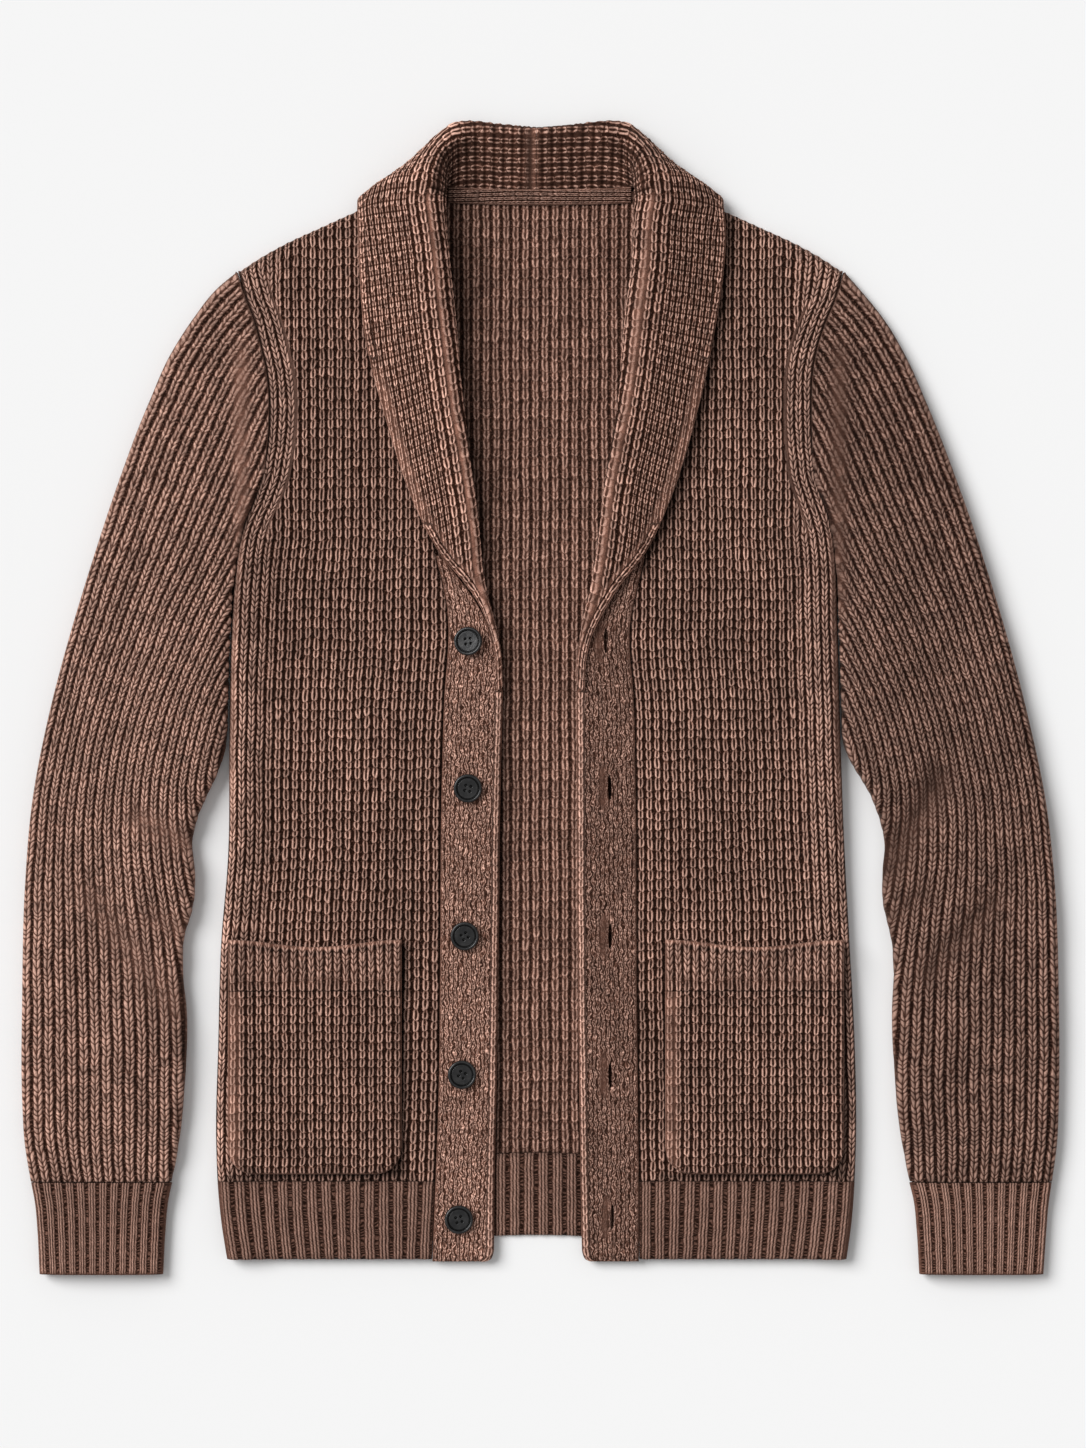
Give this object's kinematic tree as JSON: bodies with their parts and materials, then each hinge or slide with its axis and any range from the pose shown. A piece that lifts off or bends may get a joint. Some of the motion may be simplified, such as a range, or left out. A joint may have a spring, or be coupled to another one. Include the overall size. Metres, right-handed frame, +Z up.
{
  "type": "shawl collar cardigan",
  "caption": "Chunky knitted cardigan laid flat on its back: folded shawl collar, open button front, two patch pockets, long sleeves and ribbed cuffs and hem.",
  "frame": {"origin": "on the surface it lies on, under the middle of the garment's width and length", "axes": "+Z up off the surface, +Y from the hem towards the neck, +X towards the wearer's left sleeve"},
  "size_m": [0.7036, 0.7819, 0.0305],
  "materials": {
    "wool_body": "chunky half-cardigan knit in heathered brown wool",
    "wool_sleeve": "the same knit with its ribs running down the arm",
    "wool_rib": "2x2 rib in the same wool",
    "wool_collar": "fine rib with a chained edge",
    "wool_band": "close rib of fine columns",
    "wool_pocket": "stocking stitch patch",
    "neck_tape": "narrow knitted tape",
    "button_horn": "dark charcoal, satin, slightly worn rim"
  },
  "bodies": {
    "root": {"back": "wool_body", "front_right": "wool_body", "front_left": "wool_body", "sleeve_right": "wool_sleeve", "sleeve_left": "wool_sleeve", "hem_rib_back": "wool_rib", "hem_rib_right": "wool_rib", "hem_rib_left": "wool_rib", "cuff_right": "wool_rib", "cuff_left": "wool_rib", "pocket_rim_right": "wool_rib", "pocket_rim_left": "wool_rib", "pocket_right": "wool_pocket", "pocket_left": "wool_pocket", "collar_right": "wool_collar", "collar_left": "wool_collar", "button_band": "wool_band", "buttonhole_band": "wool_band", "neck_tape": "neck_tape", "button_1": "button_horn", "button_2": "button_horn", "button_3": "button_horn", "button_4": "button_horn", "button_5": "button_horn"}
  },
  "joints": []
}
